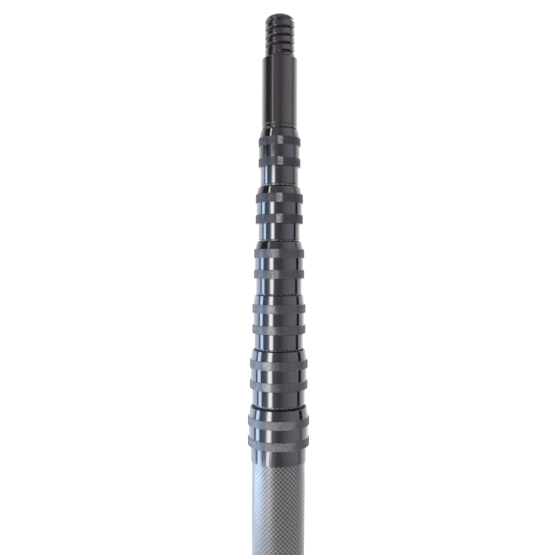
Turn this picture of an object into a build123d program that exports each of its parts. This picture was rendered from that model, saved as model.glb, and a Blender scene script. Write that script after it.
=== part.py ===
from build123d import *
import math
import os

# A seven-section telescopic boom pole, pushed together and upright on its foot.
# Millimetres. +Z runs along the pole towards the tip, and the origin is the middle
# of the rubber foot's underside. Section 1 is the outermost tube and section 7 the
# innermost, which carries the tip. Lists that hold six values run from joint 1, at
# the top of section 1, to joint 6, at the top of section 6.

# ---- driving dimensions -----------------------------------------------------------

# carbon tubes
main_tube_diameter = 34.0
tube_wall = 0.85
tube_clearance = 0.30        # radial air between a tube and the one around it
grip_length = 413.6          # bare carbon between the base and the first sleeve

# bonded and running fits, all radial
bond_gap = 0.05              # glue line
tube_end_step = 0.20         # tube ground down where its sleeve or tip is glued on
guide_clearance = 0.05       # guide bushes and glide bands in the tube around them
bore_clearance = 0.06        # moving tube in the ferrule's bore
thread_clearance = 0.06      # collar on ferrule, and cap in base plug
collet_bore_clearance = 0.05
collet_clearance = 0.12      # collet inside its collar
lip_clearance = 0.07         # collet lip in the mouth of the nose

# ferrules: a polished sleeve glued over each tube's upper end
sleeve_walls = [0.80, 1.00, 0.75, 1.00, 0.75, 0.85]
sleeve_lengths = [10.0, 9.95, 9.5, 9.7, 10.2, 11.2]
thread_step = 0.30           # the threaded zone is this much smaller than the sleeve
thread_reach = 12.0          # threaded zone above the collar's lower edge
tube_seat_depth = 1.0        # tube end below the collar's lower edge
collar_float = 0.30          # collar's lower edge above the sleeve's shoulder
seal_groove_height = 1.5     # groove's middle above the collar's lower edge
seal_thickness = 0.70
seal_slack = 0.02
sleeve_edge = 0.30           # chamfer on the sleeve's lower edge
stop_margin = 0.50           # glide band short of the ferrule when drawn right out

# lock collars
ring_spacing = 13.0          # from one knurled ring's lower edge to the other's
ring_heights = [5.2, 5.2, 5.3, 5.4, 5.5, 5.0]
ring_stands = [0.62, 0.62, 0.82, 0.56, 0.54, 0.40]
waist_walls = [1.20, 0.95, 0.65, 0.90, 1.35, 0.85]
nose_heights = [6.0, 6.0, 5.7, 4.6, 4.4, 5.2]
nose_tapers = [0.95, 0.85, 0.55, 1.20, 1.10, 1.15]
ring_edge = 0.45             # rounding of the knurled rings
rounding_share = 0.8         # most of a ring's stand that the rounding may take
cone_start = 2.0             # inner cone begins this far up the upper ring
mouth_land = 0.80            # straight stretch of bore at the mouth of the nose
rest_gaps = [1.8, 1.0, 0.9, 1.3, 1.9, 0.8]   # nose to the next sleeve
collar_turn_degrees = 150.0  # from locked to free
collar_thread_pitch = 0.75   # fine thread on the ferrule, which lifts the collar

# split collets
collet_lip = 0.95            # lip's thickness round the moving tube
lip_stands = [0.90, 0.40, 0.35, 0.60, 0.80, 0.30]
collet_seat_gap = 0.10       # collet's foot above the ferrule's end
collet_slots = 6
collet_slot_width = 1.2
collet_foot = 3.0            # unslit ring at the collet's foot
cut_overrun = 1.0            # slots and holes run this far past what they cut

# guide bushes and glide bands at the lower end of sections 2 to 7
bush_flange = 3.0
bush_spigot = 8.0
bush_wall = 1.8
landing_gap = 0.30           # a pushed-in section's foot above what it lands on
band_height = 48.0           # glide band's lower edge above the tube's end
band_length = 12.0

# tip fitting with its coarse thread
tip_wall = 1.15
tip_ring_height = 2.4
tip_ring_inset = 0.15
tip_ring_edge = 0.35
tip_body_length = 42.1
tip_socket_depth = 28.0
tip_shoulder_height = 1.3
thread_diameter = 19.05
thread_pitch = 5.08
thread_length = 22.4
thread_groove_depth = 1.0
thread_groove_mouth = 2.4
thread_groove_floor = 0.6
thread_run_in = 0.54         # bottom of the groove above the shoulder
thread_start_degrees = 262.0 # where the groove starts, counted from +X
thread_land = 0.5            # plain shank of the nominal size at the thread's foot
thread_crest_relief = 0.16   # crests inside the nominal radius, as on a free-running thread
dome_height = 5.4
dome_corner = 3.5

# base: plug, cap, rubber foot
foot_height = 8.0
foot_inset = 0.6             # rubber inside the tube's outline
foot_edge = 1.2
cap_height = 10.0
cap_relief = 0.25            # plug and cap inside the tube's outline
cap_edge = 0.5
plug_flange = 3.0
plug_length = 15.0
plug_bore = 23.0
cap_spigot_length = 12.0
cap_spigot_bore = 12.0
cap_face_gap = 0.05
base_seal_thickness = 1.4
base_seal_radius = 14.2
pad_thickness = 3.0
pad_inset = 0.15
pad_hole = 16.0
screw_diameter = 4.0
screw_clearance = 0.05
screw_length = 16.0
screw_head_diameter = 8.0
screw_head_height = 2.4
screw_recess_depth = 4.2
screw_recess_clearance = 0.6
screw_hex_width = 2.5
screw_hex_depth = 1.4
washer_diameter = 11.0
washer_thickness = 1.0

# ---- sizes worked out from them -----------------------------------------------------

joints = range(len(sleeve_walls))
sections = range(len(sleeve_walls) + 1)
tube_radii = [main_tube_diameter / 2 - n * (tube_wall + tube_clearance) for n in sections]
bore_radii = [radius - tube_wall for radius in tube_radii]
end_radii = [radius - tube_end_step for radius in tube_radii]
glued_radii = [radius + bond_gap for radius in end_radii]
sleeve_radii = [tube_radii[n] + sleeve_walls[n] for n in joints]
thread_radii = [radius - thread_step for radius in sleeve_radii]
crest_radius = thread_diameter / 2 - thread_crest_relief
waist_radii = [sleeve_radii[n] + waist_walls[n] for n in joints]

main_tube_foot = foot_height + cap_height + cap_face_gap + plug_flange
pad_level = main_tube_foot + plug_length

sleeve_levels, collar_levels, nose_levels = [], [], []
level = main_tube_foot + grip_length
for n in joints:
    sleeve_levels.append(level)
    collar_levels.append(level + sleeve_lengths[n])
    nose_levels.append(collar_levels[n] + ring_spacing + ring_heights[n] + nose_heights[n])
    level = nose_levels[n] + rest_gaps[n]
tip_level = level
shoulder_level = tip_level + tip_ring_height + tip_body_length
thread_level = shoulder_level + tip_shoulder_height
pole_length = thread_level + thread_length + dome_height

# each pushed-in section lands on the bush of the section around it
tube_feet = [main_tube_foot, pad_level + pad_thickness + landing_gap + bush_flange]
while len(tube_feet) < len(sections):
    tube_feet.append(tube_feet[-1] + bush_spigot + landing_gap + bush_flange)
tube_tops = [level - tube_seat_depth for level in collar_levels]
tube_tops.append(tip_level + tip_socket_depth)

# how far each section draws out before its glide band meets the ferrule
travels = [
    tube_tops[n] - (tube_feet[n + 1] + band_height + band_length) - stop_margin for n in joints
]

# how far a collar rises on its thread as it turns from locked to free
collar_lift = collar_thread_pitch * collar_turn_degrees / 360


# ---- shapes -------------------------------------------------------------------------

def turned(*points):
    """A solid of revolution about the pole's axis; the points are (radius, height)."""
    outline = Plane.XZ * Polyline(*points, close=True)
    return revolve(make_face(outline), Axis.Z)


def ring(inner, outer, low, high):
    """A plain ring between two radii and two heights."""
    return turned((inner, low), (outer, low), (outer, high), (inner, high))


def seal(radius, section, height):
    """An O-ring: the radius is to the middle of its round section."""
    return Pos(0, 0, height) * Torus(radius, section / 2)


def circles_at(solid, radius):
    """The solid's round edges of one radius."""
    round_edges = solid.edges().filter_by(GeomType.CIRCLE)
    return [edge for edge in round_edges if abs(edge.radius - radius) < 0.01]


def tube(n):
    """A carbon tube, ground down at the end where its sleeve or tip is glued on."""
    foot, top = tube_feet[n], tube_tops[n]
    ground_from = (sleeve_levels[n] if n in joints else tip_level) - bond_gap
    outer, ground, inner = tube_radii[n], end_radii[n], bore_radii[n]
    return turned(
        (inner, foot),
        (outer, foot),
        (outer, ground_from),
        (ground, ground_from),
        (ground, top),
        (inner, top),
    )


def ferrule(n):
    """Sleeve over the tube's end, a shoulder on the end itself, and the threaded zone."""
    low, seat = sleeve_levels[n], collar_levels[n]
    sleeve, thread = sleeve_radii[n], thread_radii[n]
    bore = tube_radii[n + 1] + bore_clearance
    body = turned(
        (glued_radii[n], low),
        (sleeve - sleeve_edge, low),
        (sleeve, low + sleeve_edge),
        (sleeve, seat - collar_float),
        (thread, seat - collar_float),
        (thread, seat + thread_reach),
        (bore, seat + thread_reach),
        (bore, tube_tops[n]),
        (glued_radii[n], tube_tops[n]),
    )
    middle = seat + seal_groove_height
    groove_floor = thread - seal_thickness
    half_width = seal_thickness / 2 + seal_slack
    return body - ring(groove_floor, sleeve, middle - half_width, middle + half_width)


def ferrule_seal(n):
    """Rubber ring that drags on the collar, so it never turns by itself."""
    centre = thread_radii[n] - seal_thickness / 2
    return seal(centre, seal_thickness - 2 * seal_slack, collar_levels[n] + seal_groove_height)


def collet_profile(n):
    """Radii and heights of the taper that the collar and the collet share."""
    wide = thread_radii[n] + thread_clearance
    narrow = tube_radii[n + 1] + collet_lip + lip_clearance
    cone_low = collar_levels[n] + ring_spacing + cone_start
    cone_high = nose_levels[n] - mouth_land
    return wide, narrow, cone_low, cone_high


def lock_collar(n):
    """Nut with a tapered nose: two grip rings, a polished waist between them."""
    wide, narrow, cone_low, cone_high = collet_profile(n)
    low, top = collar_levels[n], nose_levels[n]
    waist = waist_radii[n]
    grip = waist + ring_stands[n]
    lower_ring_top = low + ring_heights[n]
    upper_ring_low = low + ring_spacing
    upper_ring_top = upper_ring_low + ring_heights[n]
    body = turned(
        (wide, low),
        (grip, low),
        (grip, lower_ring_top),
        (waist, lower_ring_top),
        (waist, upper_ring_low),
        (grip, upper_ring_low),
        (grip, upper_ring_top),
        (waist, upper_ring_top),
        (waist - nose_tapers[n], top),
        (narrow, top),
        (narrow, cone_high),
        (wide, cone_low),
    )
    return fillet(circles_at(body, grip), min(ring_edge, ring_stands[n] * rounding_share))


def collet(n):
    """Split taper ring that the collar squeezes on to the moving tube."""
    wide, narrow, cone_low, cone_high = collet_profile(n)
    inner = tube_radii[n + 1] + collet_bore_clearance
    foot = collar_levels[n] + thread_reach + collet_seat_gap
    top = nose_levels[n] + lip_stands[n]
    outer = wide - collet_clearance
    lip = narrow - lip_clearance
    body = turned(
        (inner, foot),
        (outer, foot),
        (outer, cone_low - collet_clearance),
        (lip, cone_high - collet_clearance),
        (lip, top),
        (inner, top),
    )
    slot_low = foot + collet_foot
    slot = Box(
        wide,
        collet_slot_width,
        top - slot_low + cut_overrun,
        align=(Align.MIN, Align.CENTER, Align.MIN),
    )
    for turn in range(collet_slots):
        body -= Rot(0, 0, turn * 360 / collet_slots) * Pos(0, 0, slot_low) * slot
    return body


def guide_bush(n):
    """Flanged plug glued in a tube's foot, running in the tube around it."""
    foot = tube_feet[n]
    spigot = bore_radii[n] - bond_gap
    flange = bore_radii[n - 1] - guide_clearance
    inner = spigot - bush_wall
    return turned(
        (inner, foot - bush_flange),
        (flange, foot - bush_flange),
        (flange, foot),
        (spigot, foot),
        (spigot, foot + bush_spigot),
        (inner, foot + bush_spigot),
    )


def glide_band(n):
    """Slippery band wound on a tube: it guides the tube and is its end stop."""
    low = tube_feet[n] + band_height
    return ring(
        tube_radii[n] + bond_gap, bore_radii[n - 1] - guide_clearance, low, low + band_length
    )


def tip_ring():
    """Stop ring under the tip fitting, glued round the innermost tube."""
    inner, outer = glued_radii[-1], tube_radii[-1] + tip_wall - tip_ring_inset
    low, high = tip_level, tip_level + tip_ring_height
    return turned(
        (inner, low),
        (outer - tip_ring_edge, low),
        (outer, low + tip_ring_edge),
        (outer, high - tip_ring_edge),
        (outer - tip_ring_edge, high),
        (inner, high),
    )


def thread_groove():
    """Right-handed helical trapezoid, cut from a shank whose foot is at height 0."""
    beyond = thread_groove_depth / 2
    flare = beyond * (thread_groove_mouth - thread_groove_floor) / thread_groove_depth
    mouth, floor = (thread_groove_mouth + flare) / 2, thread_groove_floor / 2
    run = Helix(
        pitch=thread_pitch,
        height=thread_length + dome_height - thread_run_in,
        radius=crest_radius,
    )
    section = Plane(origin=run @ 0, z_dir=run % 0, x_dir=(1, 0, 0)) * Polyline(
        (beyond, -mouth),
        (beyond, mouth),
        (-thread_groove_depth, floor),
        (-thread_groove_depth, -floor),
        close=True,
    )
    groove = sweep(make_face(section), path=run, is_frenet=True)
    return Pos(0, 0, thread_run_in + thread_groove_mouth / 2) * groove


def dome_cutter():
    """All that lies outside the rounded end of a shank whose foot is at height 0.

    A small arc leaves the shank straight up and meets a shallow crown without a kink.
    """
    top = thread_length + dome_height
    reach = crest_radius - dome_corner
    crown = (reach**2 + dome_height**2 - dome_corner**2) / (2 * (dome_height - dome_corner))
    meeting = math.degrees(math.atan2(crown - dome_height, reach))
    corner_arc = CenterArc((reach, thread_length), dome_corner, 0, meeting)
    crown_arc = CenterArc((0, top - crown), crown, meeting, 90 - meeting)
    outside = Polyline(
        (0, top),
        (0, top + thread_groove_depth),
        (crest_radius + thread_groove_depth, top + thread_groove_depth),
        (crest_radius + thread_groove_depth, thread_length),
        (crest_radius, thread_length),
    )
    return revolve(make_face(Plane.XZ * Curve([corner_arc, crown_arc, outside])), Axis.Z)


def tip_fitting():
    """Socket over the innermost tube, shoulder, coarse thread and domed end."""
    outer = tube_radii[-1] + tip_wall
    land_radius, top = thread_diameter / 2, thread_length + dome_height
    low = tip_level + tip_ring_height - thread_level
    socket_floor = tube_tops[-1] - thread_level
    body = turned(
        (0, socket_floor),
        (glued_radii[-1], socket_floor),
        (glued_radii[-1], low),
        (outer, low),
        (outer, -tip_shoulder_height),
        (land_radius, 0),
        (land_radius, thread_land),
        (crest_radius, thread_land),
        (crest_radius, top),
        (0, top),
    )
    cut = body - thread_groove() - dome_cutter()
    return Pos(0, 0, thread_level) * Rot(0, 0, thread_start_degrees) * cut


def base_plug():
    """Aluminium plug glued in the main tube's foot, with a thread for the cap."""
    spigot = bore_radii[0] - bond_gap
    flange = tube_radii[0] - cap_relief
    low, seat = main_tube_foot - plug_flange, main_tube_foot
    return turned(
        (plug_bore / 2, low),
        (flange, low),
        (flange, seat),
        (spigot, seat),
        (spigot, seat + plug_length),
        (plug_bore / 2, seat + plug_length),
    )


def base_cap():
    """Screw-in cap: a rim to turn it by, a seal groove and a hollow threaded spigot."""
    low, high = foot_height, foot_height + cap_height
    rim = tube_radii[0] - cap_relief
    spigot = plug_bore / 2 - thread_clearance
    body = turned(
        (0, low),
        (rim - cap_edge, low),
        (rim, low + cap_edge),
        (rim, high),
        (spigot, high),
        (spigot, high + cap_spigot_length),
        (cap_spigot_bore / 2, high + cap_spigot_length),
        (cap_spigot_bore / 2, high),
        (0, high),
    )
    half = base_seal_thickness / 2 + seal_slack
    groove = ring(
        base_seal_radius - half, base_seal_radius + half, high - base_seal_thickness, high
    )
    screw_hole = Pos(0, 0, low) * Cylinder(
        screw_diameter / 2 + screw_clearance,
        screw_length - foot_height + screw_recess_depth + cut_overrun,
        align=(Align.CENTER, Align.CENTER, Align.MIN),
    )
    return body - groove - screw_hole


def base_seal():
    """O-ring in the cap's groove, under the plug."""
    thickness = base_seal_thickness - 2 * seal_slack
    return seal(base_seal_radius, thickness, foot_height + cap_height - base_seal_thickness / 2)


def rubber_foot():
    """Round bumper with a recess for the screw that holds it on the cap."""
    outer = tube_radii[0] - foot_inset
    recess = washer_diameter / 2 + screw_recess_clearance
    hole = screw_diameter / 2 + screw_recess_clearance
    body = turned(
        (recess, 0),
        (outer, 0),
        (outer, foot_height),
        (hole, foot_height),
        (hole, screw_recess_depth),
        (recess, screw_recess_depth),
    )
    lowest = [edge for edge in circles_at(body, outer) if edge.center().Z < foot_height / 2]
    return fillet(lowest, foot_edge)


def foot_washer():
    """Washer on the floor of the rubber foot's recess."""
    hole = screw_diameter / 2 + screw_recess_clearance
    high = screw_recess_depth
    return ring(hole, washer_diameter / 2, high - washer_thickness, high)


def foot_screw():
    """Socket-head screw up through the washer and the rubber into the cap."""
    seat = screw_recess_depth - washer_thickness
    shank = Pos(0, 0, seat) * Cylinder(
        screw_diameter / 2, screw_length, align=(Align.CENTER, Align.CENTER, Align.MIN)
    )
    head_low = seat - screw_head_height
    head = ring(0, screw_head_diameter / 2, head_low, seat)
    hexagon = RegularPolygon(screw_hex_width / 2, 6, major_radius=False)
    key_hole = Pos(0, 0, head_low) * extrude(hexagon, screw_hex_depth)
    return head + shank - key_hole


def landing_pad():
    """Soft ring inside the main tube, where section 2 lands when pushed in."""
    low = pad_level
    return ring(pad_hole / 2, bore_radii[0] - pad_inset, low, low + pad_thickness)


# ---- the pieces -----------------------------------------------------------------------

pieces = {
    "rubber_foot": rubber_foot(),
    "foot_washer": foot_washer(),
    "foot_screw": foot_screw(),
    "base_cap": base_cap(),
    "base_seal": base_seal(),
    "base_plug": base_plug(),
    "landing_pad": landing_pad(),
    "tip_ring": tip_ring(),
    "tip_fitting": tip_fitting(),
}
for n in sections:
    pieces[f"tube_{n + 1}"] = tube(n)
    if n > 0:
        pieces[f"guide_bush_{n + 1}"] = guide_bush(n)
        pieces[f"glide_band_{n + 1}"] = glide_band(n)
for n in joints:
    pieces[f"ferrule_{n + 1}"] = ferrule(n)
    pieces[f"ferrule_seal_{n + 1}"] = ferrule_seal(n)
    pieces[f"lock_collar_{n + 1}"] = lock_collar(n)
    pieces[f"collet_{n + 1}"] = collet(n)

os.makedirs("parts", exist_ok=True)
for name, shape in pieces.items():
    export_step(shape, f"parts/{name}.step")
drawn_out = pole_length + sum(travels)
print(f"{len(pieces)} pieces, pole {pole_length:.1f} mm, drawn out {drawn_out:.1f} mm")
print(f"each collar rises {collar_lift:.4f} mm in its turn of {collar_turn_degrees:.0f} degrees")
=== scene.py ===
# %% [markdown]
# # A telescopic boom pole in Blender
# A boom pole holds a microphone over a scene. This one is seven carbon tubes, nested in each
# other, with a twist-lock collar at every joint, a coarse thread on its tip and a rubber foot.
# It stands upright and pushed together. The CAD model is already built, and it is loaded here as
# a fixed frame: this lesson gives it its surfaces, materials and light.

# %% Load the frame
import math

import bpy
import numpy as np
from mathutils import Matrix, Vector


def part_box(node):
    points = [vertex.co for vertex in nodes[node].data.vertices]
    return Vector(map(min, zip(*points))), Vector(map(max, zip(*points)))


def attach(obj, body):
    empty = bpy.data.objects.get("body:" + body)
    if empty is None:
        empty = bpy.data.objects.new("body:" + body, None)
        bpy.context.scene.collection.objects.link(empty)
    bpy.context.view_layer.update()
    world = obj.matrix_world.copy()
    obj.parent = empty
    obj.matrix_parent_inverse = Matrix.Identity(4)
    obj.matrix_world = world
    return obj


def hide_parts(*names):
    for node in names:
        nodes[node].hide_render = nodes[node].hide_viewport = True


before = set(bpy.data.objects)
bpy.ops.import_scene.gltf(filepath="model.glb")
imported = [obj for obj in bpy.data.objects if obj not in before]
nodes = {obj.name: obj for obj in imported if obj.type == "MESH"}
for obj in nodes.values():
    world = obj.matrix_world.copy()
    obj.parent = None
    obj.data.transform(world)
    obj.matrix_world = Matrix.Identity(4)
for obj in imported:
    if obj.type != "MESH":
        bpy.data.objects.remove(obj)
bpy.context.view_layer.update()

# %% [markdown]
# ## Sizes
# The sizes inside a piece, such as how high a grip ring is, are the maker's own numbers, one
# for each joint from the widest to the narrowest. They are in millimetres, and `MM` turns them
# into metres. They could be measured on the CAD meshes, but written down once they can be read
# and changed. `TINY` is smaller than anything that can be made.

# %% The maker's numbers
MM = 0.001
TINY = 1e-6
JOINTS = range(6)
SECTIONS = range(7)
LAST = 6

tube_wall = 0.85
tube_radii = [17.0 - n * 1.15 for n in SECTIONS]
tube_end_step = 0.20
glue_line = 0.05

sleeve_walls = [0.80, 1.00, 0.75, 1.00, 0.75, 0.85]
waist_walls = [1.20, 0.95, 0.65, 0.90, 1.35, 0.85]
ring_stands = [0.62, 0.62, 0.82, 0.56, 0.54, 0.40]
ring_heights = [5.2, 5.2, 5.3, 5.4, 5.5, 5.0]
ring_spacing = 13.0
nose_tapers = [0.95, 0.85, 0.55, 1.20, 1.10, 1.15]
sleeve_radii = [tube_radii[n] + sleeve_walls[n] for n in JOINTS]
waist_radii = [sleeve_radii[n] + waist_walls[n] for n in JOINTS]


def heights_of(node):
    """The lowest and highest level of a CAD node, in millimetres."""
    low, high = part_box(node)
    return low.z / MM, high.z / MM


def socket_radius(n):
    """The bore that fits over a tube's ground end, with room for the glue."""
    return tube_radii[n] - tube_end_step + glue_line


print("sleeves", [round(r, 2) for r in sleeve_radii], "waists", [round(r, 2) for r in waist_radii])

# %% [markdown]
# ## Outlines with soft edges
# Every part of the pole is turned on a lathe or wound round a rod, so each is an outline of
# radius and height that is carried round the axis. A real edge is never perfectly sharp: it has
# a small radius that catches the light as a thin bright line. A Bevel modifier could add that.
# Here the arcs go into the outline instead, because then each edge has its own radius and the
# flats stay truly flat: a point just outside each arc holds the shading.

# %% Round the corners of an outline
ARC_STEPS = 5
ARC_ROOM = 0.42
HOLD = 0.35
HOLD_ROOM = 0.06


def rounded(corners, radius):
    """A closed outline whose corners are arcs. Each arc's centre lies on the corner's bisector,
    radius / sin(half the corner's angle) from it, and the arc swings between the two tangent
    points, which lie radius / tan(half) from the corner. radius is one number or one per corner.
    No arc takes more than the share ARC_ROOM of the shorter of its two sides."""
    corners = np.array(corners, float)
    radii = np.broadcast_to(radius, len(corners))
    before = np.roll(corners, 1, axis=0) - corners
    after = np.roll(corners, -1, axis=0) - corners
    outline = []
    for corner, to_last, to_next, r in zip(corners, before, after, radii):
        room = min(np.linalg.norm(to_last), np.linalg.norm(to_next))
        a, b = to_last / np.linalg.norm(to_last), to_next / np.linalg.norm(to_next)
        half = math.acos(np.clip(a @ b, -1, 1)) / 2
        cut = min(r / math.tan(half), ARC_ROOM * room)
        if cut < TINY:
            outline.append(corner[None])
            continue
        centre = corner + (a + b) / np.linalg.norm(a + b) * cut / math.cos(half)
        start, end = corner + a * cut - centre, corner + b * cut - centre
        share = np.linspace(0, 1, ARC_STEPS + 1)[:, None]
        swing = math.pi - 2 * half
        arc = (np.sin((1 - share) * swing) * start + np.sin(share * swing) * end) / math.sin(swing)
        hold = cut + min(HOLD * r, HOLD_ROOM * room)
        outline += [corner[None] + a * hold, centre + arc, corner[None] + b * hold]
    return np.vstack(outline)


print("a square with soft corners has", len(rounded([(0, 0), (1, 0), (1, 1), (0, 1)], 0.2)), "points")

# %% [markdown]
# ## More points where the surface is worked
# A grip ring has a pattern cut into it, so its straight side needs more points than a plain side.
# A Subdivision Surface would add them everywhere. Cutting only the stretches that carry the
# pattern keeps the other faces long and few.

# %% Divide part of an outline
def divided(outline, longest, where):
    """The same closed outline with more points: a stretch for which where(radius) holds at both
    ends is cut into equal steps no longer than longest."""
    pieces = []
    for start, end in zip(outline, np.roll(outline, -1, axis=0)):
        length = np.linalg.norm(end - start)
        split = where(start[0]) and where(end[0])
        count = max(1, math.ceil(length / longest - TINY)) if split else 1
        pieces.append(start + (end - start) * np.arange(count)[:, None] / count)
    return np.vstack(pieces)


demo_side = np.array([(2.0, 0.0), (2.0, 1.0), (0.0, 1.0)])
print("a side of 1 in steps of 0.25 gives", len(divided(demo_side, 0.25, lambda r: r > 1)), "points")

# %% [markdown]
# ## From outline to mesh
# An outline and an angle are the two parameters of the surface. Numpy works out all points at
# once as a grid, one row for each outline point and one column for each angle. The faces join
# neighbours in the grid, and the last column joins the first, so there is no seam. A hollow
# piece is a ring, whose last row joins the first as well. A solid piece begins and ends on the
# axis. A row of zero radius would be a bundle of points on one spot, so there it becomes a single
# pole point with a fan of triangles.

# %% Join the points of a grid
def grid_faces(rows, columns, ring):
    """Each face joins a point, the next one round, and the two above them. The last column joins
    the first, and in a ring the last row does too."""
    index = np.arange(rows * columns).reshape(rows, columns)
    lower = index if ring else index[:-1]
    upper = np.roll(index, -1, axis=0) if ring else index[1:]
    faces = np.stack([lower, np.roll(lower, -1, 1), np.roll(upper, -1, 1), upper], -1)
    return faces.reshape(-1, 4)


def fan_faces(rows, columns):
    """Triangles from a foot point to the first row and from a head point to the last row. The two
    points come after all others."""
    first = np.arange(columns)
    last = first + (rows - 1) * columns
    foot = np.full(columns, rows * columns)
    below = np.stack([foot, np.roll(first, -1), first], -1)
    above = np.stack([foot + 1, last, np.roll(last, -1)], -1)
    return np.vstack([below, above])


print("a ring of 4 rows and 8 columns has", len(grid_faces(4, 8, ring=True)), "faces")

# %% [markdown]
# ## A map for the patterns
# The weave of a tube follows its surface, so it needs coordinates that run round and along the
# piece. Unwrapping by hand could give them, but the grid already knows them: the column is the way
# round, and the height is the way along. The map counts repeats of the pattern, not shares of it.

# %% Lay a map on the mesh
PATTERN_MAP = "Round"


def add_uv(mesh, columns, quad_count, repeats):
    """u = columns walked / all columns x repeats round; v = height x repeats per metre. A face's
    second and third corners lie one column on, which keeps the seam's last face whole."""
    vertex = np.zeros(len(mesh.loops), np.int32)
    mesh.loops.foreach_get("vertex_index", vertex)
    places = np.zeros(len(mesh.vertices) * 3, np.float32)
    mesh.vertices.foreach_get("co", places)
    column = (vertex % columns).astype(float)
    seam = np.zeros(len(vertex), bool)
    corner = vertex[: quad_count * 4].reshape(-1, 4) % columns
    crossing = corner[:, :1] > corner[:, 1:2]
    seam[: quad_count * 4] = (crossing & np.array([False, True, True, False])).ravel()
    u = (column + seam * columns) / columns * repeats[0]
    v = places.reshape(-1, 3)[vertex, 2] * repeats[1]
    layer = mesh.uv_layers.new(name=PATTERN_MAP)
    layer.data.foreach_set("uv", np.stack([u, v], -1).astype(np.float32).ravel())


print("the map is called", PATTERN_MAP)

# %% [markdown]
# ## A piece that rides its body
# Each finished piece stands for one CAD node, which is hidden. It rides that node's body, so that
# it slides and turns with it. Parenting by hand would do the same with more to go wrong. The mesh
# holds the place of the piece, and the object stays at the origin.

# %% Carry an outline round the axis
SEGMENTS = 192


def skin(name, radius, height, body, node, slot, materials, repeats=(1, 1000.0), zone=None):
    """A closed surface of revolution. radius is a grid of outline points by angles, and height a
    column of levels; point = (radius cos angle, radius sin angle, height). Rows run up the
    outside, so that the faces point outwards. zone gives each row of a ring its material."""
    columns = radius.shape[1]
    angle = np.arange(columns) * 2 * math.pi / columns
    level = np.broadcast_to(height[:, None], radius.shape)
    points = np.stack([radius * np.cos(angle), radius * np.sin(angle), level], -1)
    on_axis = radius[0].max() < TINY
    if on_axis:
        points = points[1:-1]
    quads = grid_faces(len(points), columns, ring=not on_axis)
    vertices, faces = points.reshape(-1, 3), quads.tolist()
    if on_axis:
        vertices = np.vstack([vertices, [[0, 0, height[0]], [0, 0, height[-1]]]])
        faces += fan_faces(len(points), columns).tolist()
    mesh = bpy.data.meshes.new(name)
    mesh.from_pydata(vertices * MM, [], faces)
    mesh.shade_smooth()
    add_uv(mesh, columns, len(quads), repeats)
    for material in materials:
        mesh.materials.append(material)
    if zone is not None:
        mesh.polygons.foreach_set("material_index", np.repeat(zone, columns))
    piece = bpy.data.objects.new(name, mesh)
    bpy.context.scene.collection.objects.link(piece)
    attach(piece, body)
    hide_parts(node)
    print(f"{name}: {len(mesh.polygons)} faces")
    return piece


def turned(name, outline, body, node, slot, materials, **more):
    """A plain turned piece: the same outline at every angle."""
    radius = np.repeat(outline[:, :1], SEGMENTS, axis=1)
    return skin(name, radius, outline[:, 1], body, node, slot, materials, **more)


# %% [markdown]
# ## Shader maths as sums
# A finish is a small formula. Written as nodes it is long, so one class wraps a socket and adds
# a Math node for every operator: `1 - wave * 0.3` then reads as it should.

# %% Sockets that know arithmetic
class Wire:
    """An output socket that makes Math nodes out of operators."""

    def __init__(self, finish, socket):
        self.finish, self.socket = finish, socket

    def math(self, operation, *values):
        sockets = dict(enumerate(values))
        return self.finish.node("Math", {"operation": operation}, sockets)

    def __add__(self, other):
        return self.math("ADD", self, other)

    def __sub__(self, other):
        return self.math("SUBTRACT", self, other)

    def __rsub__(self, other):
        return self.math("SUBTRACT", other, self)

    def __mul__(self, other):
        return self.math("MULTIPLY", self, other)

    def __pow__(self, other):
        return self.math("POWER", self, other)

    __radd__, __rmul__ = __add__, __mul__

    def sine(self):
        return self.math("SINE", self)

    def size(self):
        return self.math("ABSOLUTE", self)

    def within(self, low, high):
        """0 below low, 1 above high, straight between."""
        spread = 1 / (high - low)
        made = (self - low) * spread
        made.socket.node.use_clamp = True
        return made


# %% [markdown]
# ## One finish, one material
# A material could be built by hand in the shader editor, but then nobody can read why it looks as
# it does. Here one class owns a material. Its constants go straight on the shader's sockets, and
# formulas are plugged in with `set`. Every node but the sums comes from one method, which takes
# its type, its settings and what goes into its sockets.

# %% A material made of formulas
class Finish:
    """One material: constants on the shader's own sockets, formulas in front of the rest."""

    def __init__(self, name, **constants):
        self.material = bpy.data.materials.new(name)
        self.material.use_nodes = True
        self.tree = self.material.node_tree
        self.shader = next(n for n in self.tree.nodes if n.type == "BSDF_PRINCIPLED")
        self.set(**constants)

    def feed(self, socket, value):
        if isinstance(value, Wire):
            self.tree.links.new(value.socket, socket)
        elif socket.type == "RGBA":
            socket.default_value = (*value, 1.0)
        else:
            socket.default_value = value

    def node(self, kind, settings=None, sockets=None, output=0):
        made = self.tree.nodes.new("ShaderNode" + kind)
        for key, value in (settings or {}).items():
            setattr(made, key, value)
        for key, value in (sockets or {}).items():
            self.feed(made.inputs[key], value)
        return Wire(self, made.outputs[output])

    def set(self, **inputs):
        for socket, value in inputs.items():
            self.feed(self.shader.inputs[socket.replace("_", " ")], value)

    def place(self):
        return self.node("TexCoord", output="Object")

    def axes(self, vector):
        """The three parts of a vector, each as a wire of its own."""
        parts = self.node("SeparateXYZ", None, {0: vector}).socket.node.outputs
        return [Wire(self, part) for part in parts]

    def noise(self, scale, detail=2.0):
        sockets = {"Vector": self.place(), "Scale": scale, "Detail": detail}
        return self.node("TexNoise", None, sockets)

    def blend(self, share, first, second):
        """A colour between two colours. Sockets 6 and 7 of a Mix node are its colours."""
        settings = {"data_type": "RGBA"}
        return self.node("Mix", settings, {0: share, 6: first, 7: second}, output=2)

    def bump(self, height, distance, strength=1.0):
        sockets = {"Height": height, "Distance": distance, "Strength": strength}
        return self.node("Bump", None, sockets)


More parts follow.
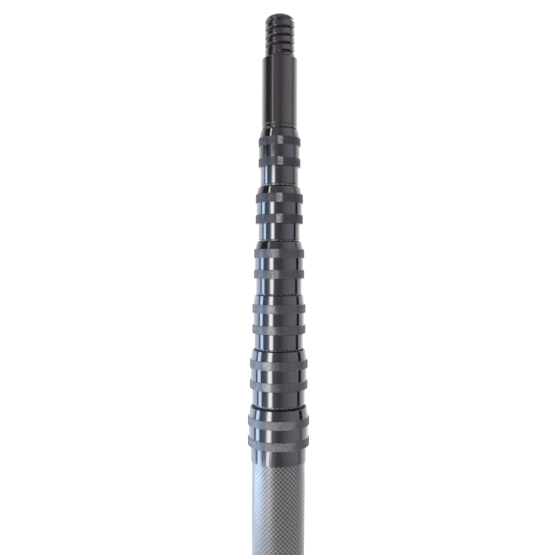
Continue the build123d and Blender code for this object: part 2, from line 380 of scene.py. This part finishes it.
def lighter(colour, times):
    return [part * times for part in colour]


print("twice as light as 0.01 is", lighter((0.01, 0.01, 0.01), 2)[0])

# %% [markdown]
# ## Polished black anodising
# Sleeves, noses, waists and the tip are aluminium, polished and anodised black. The dye sits in a
# clear oxide, so what shines is the clear skin over black: a dark base with a sharp reflection.
# The lathe leaves rings finer than a hair. They could be modelled, but they are so low that a
# bump of almost no depth shows them as well. A slow noise varies the roughness as handling does.

# %% The polished finish
CLEAR_SKIN = 1.5
BLACK_DYE, TIP_DYE, BASE_DYE = (0.004, 0.004, 0.005), (0.006, 0.004, 0.005), (0.010, 0.010, 0.011)
LATHE_RINGS, LATHE_DEPTH = 3000.0, 0.0000008
WEAR_GRAIN, SMUDGE_GRAIN = 90.0, 35.0


def smudged(finish, tint):
    """The dye's colour, up to half as light again where a slow noise is high."""
    smudge = finish.noise(SMUDGE_GRAIN, 4.0)
    return finish.blend(smudge.within(0.35, 0.75), tint, lighter(tint, 1.5))


def polished(name, tint, roughness):
    """Roughness = its middle value + a slow noise. Height = sine of the level x rings a metre."""
    finish = Finish(name, IOR=CLEAR_SKIN, Metallic=0.0)
    wear = finish.noise(WEAR_GRAIN, 3.0)
    level = finish.axes(finish.place())[2]
    lathe = (level * (LATHE_RINGS * 2 * math.pi)).sine()
    finish.set(
        Base_Color=smudged(finish, tint),
        Roughness=(wear - 0.5) * 0.05 + roughness,
        Normal=finish.bump(lathe, LATHE_DEPTH, 0.5),
    )
    return finish.material


collar_polish = polished("collar_polish", BLACK_DYE, 0.09)
sleeve_polish = polished("sleeve_polish", BLACK_DYE, 0.10)
tip_polish = polished("tip_polish", TIP_DYE, 0.09)
base_polish = polished("base_polish", BASE_DYE, 0.20)
print("polished:", collar_polish.name, sleeve_polish.name, tip_polish.name, base_polish.name)

# %% [markdown]
# ## The thread's finish
# The tip is polished after its thread is cut, so the wheel reaches the crests and the dome but not
# the groove, which stays dull. Two materials with a border between them could show that. One
# material that asks for the distance from the axis does it without a border: the groove lies
# nearer to the axis than the crests. Near the top of the dome the distance is small too, so there
# the level decides.

# %% Polish on the crests only
GROOVE_DULL, GROOVE_BRIGHT = 0.0083, 0.0089
DOME_LEVEL, DOME_BLEND = 0.7115, 0.001


def threaded(name, tint):
    """Shine = the distance from the axis, from none at GROOVE_DULL to all of it at
    GROOVE_BRIGHT, or the level from DOME_LEVEL up, whichever is more. It is the weight of a
    clear coat over a dull base."""
    finish = Finish(
        name, Specular_IOR_Level=0.0, Roughness=0.6, Coat_IOR=CLEAR_SKIN, Coat_Roughness=0.09
    )
    across, back, level = finish.axes(finish.place())
    radius = (across * across + back * back) ** 0.5
    crest = radius.within(GROOVE_DULL, GROOVE_BRIGHT)
    shine = crest.math("MAXIMUM", crest, level.within(DOME_LEVEL, DOME_LEVEL + DOME_BLEND))
    finish.set(Base_Color=smudged(finish, tint), Coat_Weight=shine * 0.9 + 0.1)
    return finish.material


thread_polish = threaded("thread_polish", TIP_DYE)
print(f"the groove is dull within {GROOVE_DULL / MM:.1f} mm of the axis")

# %% [markdown]
# ## Knurled grip rings
# The fingers turn a collar by two rings with a fine diamond knurl. The tool presses it into the
# metal, so the points are slightly burnished and the grooves stay matte. The shape itself is real
# geometry, so the finish only needs a rougher skin with a fine grain, and a painted highlight: a
# pale patch on each ring that stands for the glint of a light in the knurl's facets. A painted
# mask could hold the patch, but an angle round the axis is enough, and it costs no image.

# %% The knurl's finish
# the second colour is the pale grey of the painted highlight on the rings
KNURL_BLACK, KNURL_GLINT_GREY = (0.012, 0.011, 0.013), (0.60, 0.59, 0.60)
KNURL_GRAIN, KNURL_PATCH = 1400.0, 420.0
knurl_gloss = [0.36, 0.36, 0.36, 0.30, 0.13, 0.13]
# where each ring's painted highlight sits in degrees from the front, how far it reaches and how
# strong it is
painted_glint_middle = [10, -24, -17, -9, 0, 2]
painted_glint_reach = [26, 11, 11, 10, 9, 9]
painted_glint_shine = [0.12, 0.20, 0.11, 0.15, 0.24, 0.24]


def burnished_with_painted_glint(name, gloss, middle, reach, shine):
    """Colour and roughness follow a fine noise. The painted highlight = 1 - the angle round the
    collar from its middle / its reach, broken up by the same noise, and it blends towards a pale grey
    glint."""
    finish = Finish(name, IOR=CLEAR_SKIN, Metallic=0.0, Specular_IOR_Level=gloss)
    grain = finish.noise(KNURL_GRAIN)
    patch = finish.noise(KNURL_PATCH)
    across, back, _ = finish.axes(finish.place())
    angle = across.math("ARCTAN2", across, back * -1.0) * (180 / math.pi)
    # painted highlight: a pale patch round one angle of each ring stands for a light's glint in the
    # knurl
    painted_glint = (1.0 - (angle - middle).size() * (1 / reach)).within(0.0, 0.45)
    speckle = grain.within(0.25, 0.6) * patch.within(-0.1, 0.6)
    black = finish.blend(grain.within(0.35, 0.7), KNURL_BLACK, lighter(KNURL_BLACK, 2.2))
    finish.set(
        Base_Color=finish.blend(painted_glint * speckle * shine, black, KNURL_GLINT_GREY),
        Roughness=(grain - 0.5) * 0.2 + (patch - 0.5) * 0.3 + 0.33,
        Normal=finish.bump(grain, 0.00002, 0.6),
    )
    return finish.material


knurls = [
    burnished_with_painted_glint(f"knurl_{n + 1}", knurl_gloss[n], painted_glint_middle[n], painted_glint_reach[n], painted_glint_shine[n])
    for n in JOINTS
]
# the angles are where the painted highlight sits on each ring
print(len(knurls), "knurled finishes, worn", painted_glint_middle, "degrees from the front")

# %% [markdown]
# ## Woven carbon under lacquer
# Each tube is wrapped in a plain weave: tows of fibre that pass over and under each other, under
# a thick clear lacquer. A tow that lies along the tube and one that lies round it throw the light
# differently, so the weave reads as a chequer of light and dark spots. Modelled fibres would be
# millions of faces for something half a millimetre deep in clear lacquer, so the chequer is a
# formula. The piece's own UV map counts the tows, and the chequer closes exactly round the tube.

# %% The weave's finish
TOW = 1.45
CARBON_DARK, CARBON_LIGHT = (0.006, 0.004, 0.004), (0.072, 0.067, 0.065)


def woven(name, dark, light):
    """Chequer = sin(pi u) sin(pi v), above zero where the lengthwise tow lies on top. Crown = the
    root of the chequer's size, high in the middle of each spot, which swells the lacquer."""
    finish = Finish(
        name, IOR=CLEAR_SKIN, Specular_IOR_Level=0.12, Metallic=0.1,
        Coat_IOR=CLEAR_SKIN, Coat_Roughness=0.27, Coat_Weight=0.8,
    )
    u, v, _ = finish.axes(finish.node("UVMap", {"uv_map": PATTERN_MAP}))
    chequer = (u * math.pi).sine() * (v * math.pi).sine()
    strands = finish.noise(900.0)
    lying = (chequer + (strands - 0.5) * 0.5).within(-0.35, 0.35)
    crown = chequer.size() ** 0.5
    finish.set(
        Base_Color=finish.blend(lying, dark, light),
        Roughness=lying * -0.12 + 0.55,
        Normal=finish.bump(crown, 0.00006, 0.35),
    )
    return finish.material


carbon = woven("carbon_weave", CARBON_DARK, CARBON_LIGHT)
print(f"{carbon.name}: tows {TOW} mm wide")

# %% [markdown]
# ## The seven tubes
# A real tube is wound round a steel rod and baked. Here it is a closed ring of an outline: up the
# outside, over the end and down the bore. A cylinder with a Solidify modifier would do for the
# wall, but the upper end is ground down a little where the sleeve is glued on, and an outline
# holds that step too. The tow count must be even, or the chequer would clash where it meets itself.

# %% Wind the tubes
TUBE_EDGE = 0.08


def wind_tube(n):
    outer = tube_radii[n]
    inner, ground = outer - tube_wall, outer - tube_end_step
    low, high = heights_of(f"tube_{n + 1}")
    cover = f"ferrule_{n + 1}" if n in JOINTS else "tip_ring"
    step = heights_of(cover)[0] - glue_line
    corners = [
        (outer, low), (outer, step), (ground, step),
        (ground, high), (inner, high), (inner, low),
    ]
    tows = 2 * round(math.pi * outer / TOW)
    return turned(
        f"wound_tube_{n + 1}", rounded(corners, TUBE_EDGE), f"section_{n + 1}", f"tube_{n + 1}",
        "carbon_weave", [carbon], repeats=(tows, 1 / (TOW * MM)),
    )


for n in SECTIONS:
    wind_tube(n)

# %% [markdown]
# ## The ferrules
# A ferrule is turned from aluminium and glued over the end of each tube. Its polished sleeve
# shows; the thinner part above carries the thread that the collar runs on. That thread is under
# the collar and never seen, so a plain step stands for it, as in the CAD model.

# %% Turn the ferrules
thread_step = 0.30
thread_reach = 12.0
tube_seat_depth = 1.0
collar_float = 0.30
bore_clearance = 0.06
FERRULE_EDGES = [0.30, 0.10, 0.05, 0.15, 0.15, 0.05, 0.05, 0.10]


def turn_ferrule(n):
    low, high = heights_of(f"ferrule_{n + 1}")
    seat = high - thread_reach
    sleeve, thread = sleeve_radii[n], sleeve_radii[n] - thread_step
    bore, socket = tube_radii[n + 1] + bore_clearance, socket_radius(n)
    corners = [
        (sleeve, low), (sleeve, seat - collar_float), (thread, seat - collar_float),
        (thread, high), (bore, high), (bore, seat - tube_seat_depth),
        (socket, seat - tube_seat_depth), (socket, low),
    ]
    return turned(
        f"sleeve_{n + 1}", rounded(corners, FERRULE_EDGES), f"section_{n + 1}",
        f"ferrule_{n + 1}", "polished_black", [sleeve_polish],
    )


for n in JOINTS:
    turn_ferrule(n)

# %% [markdown]
# ## The knurl
# A knurl is rolled into the metal by two wheels: two sets of V grooves that cross, one climbing
# to the left and one to the right, and leave a small pyramid between them. A displacement texture
# would need far more faces to show it. Here the grid is made to fit the pattern, with four columns
# and four rows to a pyramid, so a point or a groove always falls on grid lines.

# %% How deep the knurl goes
KNURL_WIDTH = 1.05
KNURL_RISE = 1.25
KNURL_DEPTH = 0.26
KNURL_CUT = 0.8
STEPS_PER_POINT = 4


def peak(phase):
    """A triangle wave: 0 at whole numbers, 1 halfway between."""
    return 1 - 2 * np.abs(phase % 1 - 0.5)


def knurl_depth(radius, level, count):
    """How far the knurl goes in, 0 at a point and 1 in a groove: 1 - the lower of two triangle
    waves, one on (turn + level), one on (turn - level), with the points cut flat at KNURL_CUT."""
    turn = np.arange(radius.shape[1]) / radius.shape[1] * count
    climb = level[:, None] / KNURL_RISE
    height = np.minimum(peak(turn + climb), peak(turn - climb))
    return 1 - np.minimum(height, KNURL_CUT) / KNURL_CUT


print("the triangle wave at 0, a quarter and a half:", peak(np.array([0.0, 0.25, 0.5])))

# %% [markdown]
# ## The lock collars
# A collar is a nut with a tapered nose, bored to a cone that squeezes the collet on the tube
# inside. Outside it has two knurled grip rings with a polished waist between them. It is one
# piece of metal, so it is one mesh with two materials and not a nut with two rings pushed on. The
# knurl fades out towards the rounded edges of a ring, as a rolled one does.

# %% Turn the collars
thread_clearance = 0.06
collet_lip, lip_clearance = 0.95, 0.07
cone_start = 2.0
mouth_land = 0.80
RING_EDGE, RING_EDGE_SHARE = 0.45, 0.8
FADE_SHARE = 0.7
PLAIN_STAND = 0.02


def turn_collar(n):
    low, high = heights_of(f"lock_collar_{n + 1}")
    waist, grip = waist_radii[n], waist_radii[n] + ring_stands[n]
    wide = sleeve_radii[n] - thread_step + thread_clearance
    narrow = tube_radii[n + 1] + collet_lip + lip_clearance
    rise, upper = ring_heights[n], low + ring_spacing
    corners = [
        (wide, low), (grip, low), (grip, low + rise), (waist, low + rise), (waist, upper),
        (grip, upper), (grip, upper + rise), (waist, upper + rise),
        (waist - nose_tapers[n], high), (narrow, high), (narrow, high - mouth_land),
        (wide, upper + cone_start),
    ]
    edge = min(RING_EDGE, ring_stands[n] * RING_EDGE_SHARE)
    radii = [0.1, edge, edge, 0.12, 0.12, edge, edge, 0.12, 0.35, 0.15, 0.2, 0.2]
    step = KNURL_RISE / STEPS_PER_POINT
    outline = divided(rounded(corners, radii), step, lambda r: r > grip - TINY)
    count = round(2 * math.pi * grip / KNURL_WIDTH)
    radius = np.repeat(outline[:, :1], STEPS_PER_POINT * count, axis=1)
    fade = edge * FADE_SHARE
    share = np.clip((outline[:, 0] - grip + fade) / fade, 0, 1)[:, None]
    radius = radius - KNURL_DEPTH * share * knurl_depth(radius, outline[:, 1] - low, count)
    knurled = outline[:, 0] > waist + PLAIN_STAND
    return skin(
        f"collar_{n + 1}", radius, outline[:, 1], f"collar_{n + 1}", f"lock_collar_{n + 1}",
        "collar_black", [collar_polish, knurls[n]], zone=knurled.astype(np.int32),
    )


for n in JOINTS:
    turn_collar(n)

# %% [markdown]
# ## The dome on the tip
# The tip fitting ends in a shallow dome with a rounded shoulder, so that it finds its way into a
# threaded hole. A squashed ball would be the quick way, but its curve would meet the shank at the
# wrong slope. Two arcs that touch each other keep the surface smooth from the shank to the top.

# %% The rounded end
tip_wall = 1.15
tip_shoulder_height = 1.3
thread_land_radius = 9.525
thread_crest = thread_land_radius - 0.16
thread_length = 22.4
thread_land = 0.5
dome_height, dome_corner = 5.4, 3.5
CORNER_POINTS, CROWN_POINTS = 26, 18


def dome_profile(foot):
    """Radius and level of the rounded end: a small arc that leaves the shank straight up, then a
    shallow arc over the top, tangent to it."""
    reach = thread_crest - dome_corner
    crown = (reach**2 + dome_height**2 - dome_corner**2) / (2 * (dome_height - dome_corner))
    meeting = math.atan2(crown - dome_height, reach)
    turn = np.linspace(0, meeting, CORNER_POINTS)[:, None]
    small = [reach, foot] + dome_corner * np.hstack([np.cos(turn), np.sin(turn)])
    turn = np.linspace(meeting, math.pi / 2, CROWN_POINTS)[1:, None]
    large = [0, foot + dome_height - crown] + crown * np.hstack([np.cos(turn), np.sin(turn)])
    return np.vstack([small, large])


print("the dome is", round(dome_profile(0)[-1, 1], 2), "mm high")

# %% [markdown]
# ## The thread on the tip
# A coarse thread with broad flat crests is cut in one groove that winds round the shank. A Screw
# modifier could wind a profile, but it leaves open ends. Here the groove is a depth over the whole
# shank: at each point of the surface, the nearest turn of the helix tells how far it is to the
# middle of the groove, and so how deep the surface lies. The groove can then fade at its ends.

# %% How deep the groove goes
thread_pitch = 5.08
thread_run_in = 0.54
groove_mouth, groove_floor, groove_deep = 2.4, 0.6, 1.0
groove_start = 262.0
groove_turns = 4.57
FADE_IN, FADE_OUT = 0.04, 0.25


def groove_depth(level, foot, columns):
    """Depth = a trapezoid of the distance to the nearest turn: full on the floor, none beyond the
    mouth, straight flanks with soft ends between. The groove fades in and out at its two ends."""
    turn = ((np.arange(columns) / columns) - groove_start / 360) % 1
    start = foot + thread_run_in + groove_mouth / 2
    away = (level[:, None] - start) / thread_pitch - turn
    whole = np.round(away)
    gap = np.abs(away - whole) * thread_pitch
    flank = np.clip((groove_mouth / 2 - gap) / ((groove_mouth - groove_floor) / 2), 0, 1)
    travelled = turn + whole
    fade = np.clip(travelled / FADE_IN, 0, 1) * np.clip((groove_turns - travelled) / FADE_OUT, 0, 1)
    return groove_deep * flank * flank * (3 - 2 * flank) * fade * (whole >= 0)


print("the groove climbs", round(groove_turns * thread_pitch, 2), "mm")

# %% [markdown]
# ## The tip fitting
# The fitting is a cup glued over the narrowest tube, with the threaded shank on top. It is solid
# above the cup's floor, so its outline begins and ends on the axis. Rows of points a tenth of a
# millimetre apart carry the thread, and the rest of the outline needs only its corners.

# %% Turn the tip
tip_socket_depth = 28.0
SHANK_STEP = 0.10
SHANK_SEGMENTS = 216
SHANK_START, CUT_START = 0.04, 0.02
PIN, CORE = 0.01, 4.0
TIP_EDGES = [0.0, 0.1, 0.15, 0.35, 0.5, 0.15, 0.05, 0.02]


def turn_tip():
    low, high = heights_of("tip_fitting")
    foot = high - dome_height - thread_length
    land = foot + thread_land
    socket, outer = socket_radius(LAST), tube_radii[LAST] + tip_wall
    floor = heights_of("tip_ring")[0] + tip_socket_depth
    corners = [
        (PIN, floor), (socket, floor), (socket, low), (outer, low),
        (outer, foot - tip_shoulder_height), (thread_land_radius, foot),
        (thread_land_radius, land), (thread_crest, land),
    ]
    shank = np.arange(land + SHANK_START, high - dome_height, SHANK_STEP)
    shank = np.stack([np.full(len(shank), thread_crest), shank], -1)
    dome = dome_profile(high - dome_height)
    outline = np.vstack([[[0, floor]], rounded(corners, TIP_EDGES), shank, dome])
    outline[-1, 0] = 0
    radius = np.repeat(outline[:, :1], SHANK_SEGMENTS, axis=1)
    on_shank = ((outline[:, 1] > land + CUT_START) & (outline[:, 0] > CORE))[:, None]
    radius = radius - on_shank * groove_depth(outline[:, 1], foot, SHANK_SEGMENTS)
    return skin(
        "threaded_tip", radius, outline[:, 1], "section_7", "tip_fitting", "tip_black",
        [thread_polish],
    )


turn_tip()

# %% [markdown]
# ## The stop ring
# A thin ring under the tip stops the narrowest collar. It is a hair narrower than the tip, which
# draws a faint second edge. A groove in the tip would look much the same, but on the real pole the
# ring is a part of its own that can be changed.

# %% Turn the stop ring
tip_ring_step = 0.15
RING_EDGES = [0.35, 0.35, 0.1, 0.1]


def turn_tip_ring():
    low, high = heights_of("tip_ring")
    inner, outer = socket_radius(LAST), tube_radii[LAST] + tip_wall - tip_ring_step
    corners = [(outer, low), (outer, high), (inner, high), (inner, low)]
    return turned(
        "stop_ring", rounded(corners, RING_EDGES), "section_7", "tip_ring", "tip_black",
        [tip_polish],
    )


turn_tip_ring()

# %% [markdown]
# ## Rubber, plastic and steel
# The small parts are moulded or bought: rubber seals and foot, plastic collets, bushes and bands,
# a steel screw. Rubber is matte with a fine skin and a slow mottle from the mould. Each could have
# a material of its own making, but they differ only in colour, gloss and grain, so one function
# makes them all.

# %% The moulded finishes
MOTTLE_GRAIN = 60.0
SKIN_FINE, SKIN_COARSE = 0.00001, 0.00003


def moulded(name, tint, roughness, grain_size, depth=SKIN_FINE, **constants):
    """A fine noise as bump and as a small change of roughness, a slow one as a change of colour."""
    finish = Finish(name, **constants)
    grain = finish.noise(grain_size, 3.0)
    slow = finish.noise(MOTTLE_GRAIN)
    finish.set(
        Base_Color=finish.blend(slow.within(0.3, 0.7), tint, lighter(tint, 1.35)),
        Roughness=(grain - 0.5) * 0.12 + roughness,
        Normal=finish.bump(grain, depth, 0.5),
    )
    return finish.material


foot_rubber = moulded("foot_rubber", (0.014, 0.014, 0.014), 0.62, 2600.0, SKIN_COARSE)
seal_rubber = moulded("seal_rubber", (0.010, 0.010, 0.010), 0.45, 2600.0)
collet_plastic = moulded(
    "collet_plastic", (0.002, 0.002, 0.002), 0.5, 1800.0, Specular_IOR_Level=0.08
)
bush_plastic = moulded("bush_plastic", (0.022, 0.022, 0.022), 0.50, 1500.0)
band_plastic = moulded("band_plastic", (0.70, 0.69, 0.65), 0.40, 900.0)
screw_steel = moulded("screw_steel", (0.52, 0.52, 0.53), 0.28, 1200.0, Metallic=1.0)
print("moulded:", foot_rubber.name, seal_rubber.name, collet_plastic.name, bush_plastic.name)

# %% [markdown]
# ## The screw cap
# The pole is opened from below by a cap that screws into a plug. The cap has a flange as wide as
# the tube and a hollow spigot that carries the thread. It is one turned outline with a hole for
# the foot's screw. A cut cylinder would need Boolean modifiers, and they leave ragged shading.

# %% Turn the cap
cap_relief = 0.25
cap_height = 10.0
screw_hole = 2.05
spigot_radius, spigot_hollow = 11.44, 6.0
RIM_STEP = 0.4
CAP_EDGES = [0.1, 0.5, 0.2, 0.1, 0.3, 0.2, 0.1, 0.1]
rim = tube_radii[0] - cap_relief


def turn_cap():
    low, high = heights_of("base_cap")
    top = low + cap_height
    corners = [
        (screw_hole, low), (rim, low), (rim, top), (spigot_radius, top),
        (spigot_radius, high), (spigot_hollow, high), (spigot_hollow, top), (screw_hole, top),
    ]
    outline = divided(rounded(corners, CAP_EDGES), RIM_STEP, lambda r: r > rim - TINY)
    return turned("screw_cap", outline, "section_1", "base_cap", "base_black", [base_polish])


turn_cap()

# %% [markdown]
# ## The plug
# The plug is glued in the foot of the widest tube, and its bore takes the cap. Its flange closes
# the tube's end. Like the cap it is metal, turned and blacked, so it has the same finish.

# %% Turn the plug
plug_flange = 3.0
plug_bore = 11.5
PLUG_EDGE = 0.15


def turn_plug():
    low, high = heights_of("base_plug")
    spigot = tube_radii[0] - tube_wall - glue_line
    corners = [
        (rim, low), (rim, low + plug_flange), (spigot, low + plug_flange),
        (spigot, high), (plug_bore, high), (plug_bore, low),
    ]
    outline = rounded(corners, PLUG_EDGE)
    return turned("end_plug", outline, "section_1", "base_plug", "base_black", [base_polish])


turn_plug()

# %% [markdown]
# ## The rubber foot
# A moulded bumper lets the pole stand on a floor. One screw holds it under the cap, and its head
# sits in a recess, so it never scratches anything. The edges are rounded far more than on the
# metal parts, because rubber is moulded and wears round.

# %% Mould the bumper
foot_inset = 0.6
recess_radius, recess_depth = 6.1, 4.2
shank_hole = 2.6
BUMPER_EDGES = [1.2, 0.4, 0.1, 0.1, 0.2, 0.5]


def mould_bumper():
    top = heights_of("rubber_foot")[1]
    outer = tube_radii[0] - foot_inset
    corners = [
        (outer, 0), (outer, top), (shank_hole, top),
        (shank_hole, recess_depth), (recess_radius, recess_depth), (recess_radius, 0),
    ]
    outline = rounded(corners, BUMPER_EDGES)
    return turned("bumper", outline, "section_1", "rubber_foot", "foot_rubber", [foot_rubber])


mould_bumper()

# %% [markdown]
# ## The parts inside
# Collets, seals, bushes, bands, the landing pad and the foot's screw are hidden or tiny, and their
# CAD meshes are good as they are. Making them again would only risk a mistake. They keep their
# meshes and get a finish, found by how their names begin.

# %% Dress the CAD pieces that stay
STAYING = {
    "collet_": collet_plastic,
    "guide_bush": bush_plastic,
    "glide_band": band_plastic,
    "ferrule_seal": seal_rubber,
    "base_seal": seal_rubber,
    "landing_pad": seal_rubber,
    "foot_": screw_steel,
}
for start, material in STAYING.items():
    dressed = [node for name, node in nodes.items() if name.startswith(start)]
    for node in dressed:
        node.data.materials.clear()
        node.data.materials.append(material)
    print(f"{start}: {len(dressed)} pieces in {material.name}")

# %% [markdown]
# ## Floor and world
# The pole stands on a plain pale floor in a plain white room. A sky texture would give colour and
# a sun, and both would show in the polish. A white world gives the grey of the clear skin and its
# bright rims, and the floor only needs a very slight mottle.

# %% The floor and the world
WORLD_GLOW = 1.04
FLOOR_REACH = 60.0
FLOOR_MOTTLE = 4.0
world = bpy.data.worlds.new("white")
bpy.context.scene.world = world
world.use_nodes = True
world.node_tree.nodes["Background"].inputs["Color"].default_value = (1, 1, 1, 1)
world.node_tree.nodes["Background"].inputs["Strength"].default_value = WORLD_GLOW
bpy.context.scene.view_settings.view_transform = "Standard"

floor_paint = Finish("floor_paint", Specular_IOR_Level=0.1, Roughness=0.8)
mottle = floor_paint.noise(FLOOR_MOTTLE)
floor_paint.set(Base_Color=floor_paint.blend(mottle, (0.99, 0.99, 0.99), (1.0, 1.0, 1.0)))
floor_mesh = bpy.data.meshes.new("floor")
floor_corners = np.array([[-1, -1, 0], [1, -1, 0], [1, 1, 0], [-1, 1, 0]]) * FLOOR_REACH
floor_mesh.from_pydata(floor_corners, [], [[0, 1, 2, 3]])
floor_mesh.materials.append(floor_paint.material)
floor = bpy.data.objects.new("floor", floor_mesh)
bpy.context.scene.collection.objects.link(floor)
print(f"the floor reaches {FLOOR_REACH:.0f} m each way")

# %% [markdown]
# ## Ribbons of light
# Polished black shows nothing of its own but what stands round it, so the light is built for its
# reflections. Area lamps would be the usual way, but their edges are hard to place. Tall glowing
# ribbons stand round the pole instead. A cylinder shows a ribbon that stands at an angle a from
# the camera at sin(a / 2) of its radius, so each ribbon's place is known before it is made.

# %% One ribbon
RIBBON_REACH = 1.2
RIBBON_POINTS = 17


def ribbon(name, levels, azimuths, widths, left, right=None):
    """A tall curved screen round the pole. Row by row it has a level, a middle angle from the
    camera's side (negative to the left) and a width in degrees; point = reach (sin angle,
    -cos angle), level. One number stands for all rows. Its glow goes from the colour left to the
    colour right across it. The camera never sees it, and it casts no shadow."""
    across = np.linspace(0, 1, RIBBON_POINTS)
    middle = np.broadcast_to(azimuths, len(levels))[:, None]
    width = np.broadcast_to(widths, len(levels))[:, None]
    angle = np.radians(middle + width * (across - 0.5))
    level = np.broadcast_to(np.array(levels, float)[:, None], angle.shape)
    points = np.stack([RIBBON_REACH * np.sin(angle), -RIBBON_REACH * np.cos(angle), level], -1)
    rows, columns = angle.shape
    index = np.arange(rows * columns).reshape(rows, columns)
    faces = np.stack([index[:-1, :-1], index[:-1, 1:], index[1:, 1:], index[1:, :-1]], -1)
    mesh = bpy.data.meshes.new(name)
    mesh.from_pydata(points.reshape(-1, 3), [], faces.reshape(-1, 4).tolist())
    corners = np.zeros(len(mesh.loops), np.int32)
    mesh.loops.foreach_get("vertex_index", corners)
    along = across[corners % columns]
    layer = mesh.uv_layers.new(name="Across")
    layer.data.foreach_set("uv", np.stack([along, along * 0], -1).astype(np.float32).ravel())
    glow = Finish(
        name, Base_Color=(0, 0, 0), Roughness=1.0, Specular_IOR_Level=0.0,
        Emission_Color=left, Emission_Strength=1.0,
    )
    if right is not None:
        share = glow.axes(glow.node("UVMap", {"uv_map": "Across"}))[0]
        glow.set(Emission_Color=glow.blend(share, left, right))
    mesh.materials.append(glow.material)
    screen = bpy.data.objects.new(name, mesh)
    bpy.context.scene.collection.objects.link(screen)
    screen.visible_camera = False
    screen.visible_shadow = False
    print(f"{name}: {width.max():.0f} degrees wide")
    return screen


def grey(value):
    return (value, value, value)


# %% [markdown]
# ## The ribbons on the left
# The key light is a white strip to the left of the camera, with a bluish strip and a wide bluish
# window further round, and dark gaps between them that draw the dark lines. The ribbons go from
# the left of the camera round to the back. Each has the levels, the middle angle, the width, and
# the glow at its left and right edge. Seen from the camera, the widest tube reflects only what
# stands below FOOT, and the parts at the top of the pole only what is above CREST.

# %% Set the left ribbons
FOOT, CREST, HIGH = 0.06, 0.818, 1.9
TIP_END = 1.2
MIDDLE, TOP, LOW, UPPER = [FOOT, CREST], [FOOT, HIGH], [-0.6, FOOT], [CREST, HIGH]
# the lowest sleeve sees the key strip further to the left than the collars do
BEND = [FOOT, 0.112, 0.122, CREST]
ribbon("front_shade", TOP, 2, 24, grey(0.75))
ribbon("key_edge", BEND, [-37, -37, -27, -27], 6, grey(16), grey(1.0))
ribbon("key_strip", BEND, [-46, -46, -36, -36], 12, grey(21), grey(20))
ribbon("key_fall", BEND, [-54, -54, -46, -46], [4, 4, 8, 8], (2.4, 2.5, 2.8), grey(14))
ribbon("tip_strip", [CREST, TIP_END], -46, 4, grey(7))
ribbon("nose_strip", [TIP_END, HIGH], -57, 8, grey(15))
ribbon("blue_gap", MIDDLE, -56, 12, (1.0, 1.3, 1.9), (1.8, 2.0, 2.4))
ribbon("navy", MIDDLE, -70, 18, (0.4, 0.7, 1.6), (0.9, 1.2, 2.0))
ribbon(
    "blue_strip", BEND, [-82, -82, -87, -87], [20, 20, 17, 17],
    (9.5, 12.5, 16.0), (10.0, 13.0, 16.5),
)
ribbon("dark_line", MIDDLE, -101, 10, (0.7, 1.0, 2.0), (0.3, 0.4, 1.0))
ribbon("blue_window", MIDDLE, -124, 36, (2.6, 2.8, 3.2), (4.2, 4.8, 6.2))
ribbon("tip_dark", UPPER, -81, 40, grey(0.05))
ribbon("left_back", UPPER, -125, 46, grey(2.6), grey(1.5))
ribbon("left_rim", MIDDLE, -161, 38, grey(1.1), (2.2, 2.3, 2.5))

# %% [markdown]
# ## The ribbons on the right
# The right side is plainer: a soft rise to a pale wall, one black flag that draws a dark line
# along the collars, and a pale back. They go from the right of the camera round to the back.

# %% Set the right ribbons
ribbon("right_rise", TOP, 31, 34, (1.1, 1.05, 1.15), (2.1, 2.1, 2.4))
ribbon("right_wall", TOP, 67, 38, (2.2, 2.2, 2.5))
ribbon("dark_flag", [0.2, 0.75], 95, 16, grey(0.02))
ribbon("right_back", TOP, 126, 46, grey(2.5), grey(2.8))
ribbon("right_rim", TOP, 164, 30, grey(2.3), grey(1.1))

# %% [markdown]
# ## The ribbons at the foot
# The woven tube is duller than the metal, so its reflections are broad and soft. Brighter ribbons
# low round the pole light it, and the polished parts above don't see them.

# %% Set the low ribbons
ribbon("foot_window", LOW, -89, 58, (17.0, 23.0, 31.0), (26.0, 33.0, 43.0))
ribbon("foot_key", LOW, -42, 36, (15.0, 17.0, 21.0), (0.6, 0.5, 0.5))
ribbon("foot_front", LOW, -4, 38, (0.6, 0.55, 0.5), grey(0.5))
ribbon("foot_right", LOW, 68, 104, (0.5, 0.5, 0.55), (1.3, 1.3, 1.5))

# %% [markdown]
# ## The camera
# It looks level at the upper part of the pole, close by, so that the grip rings below it are seen
# a little from above and the ones over it from below. A long lens from far away would flatten
# that. The camera stands a millimetre to one side and leans by a fifth of a degree.

# %% Set the camera
CAMERA_ASIDE, CAMERA_DISTANCE, CAMERA_LEVEL = -0.00102, 0.417, 0.556
CAMERA_LEAN = -0.22
camera_data = bpy.data.cameras.new("camera")
camera_data.sensor_width = 36.0
camera_data.lens = 42.47
camera_data.shift_y = -0.0155
camera = bpy.data.objects.new("camera", camera_data)
camera.location = (CAMERA_ASIDE, -CAMERA_DISTANCE, CAMERA_LEVEL)
camera.rotation_euler = (math.radians(90), math.radians(CAMERA_LEAN), 0)
bpy.context.scene.collection.objects.link(camera)
bpy.context.scene.camera = camera
print(f"the camera looks from {CAMERA_DISTANCE:.3f} m away")
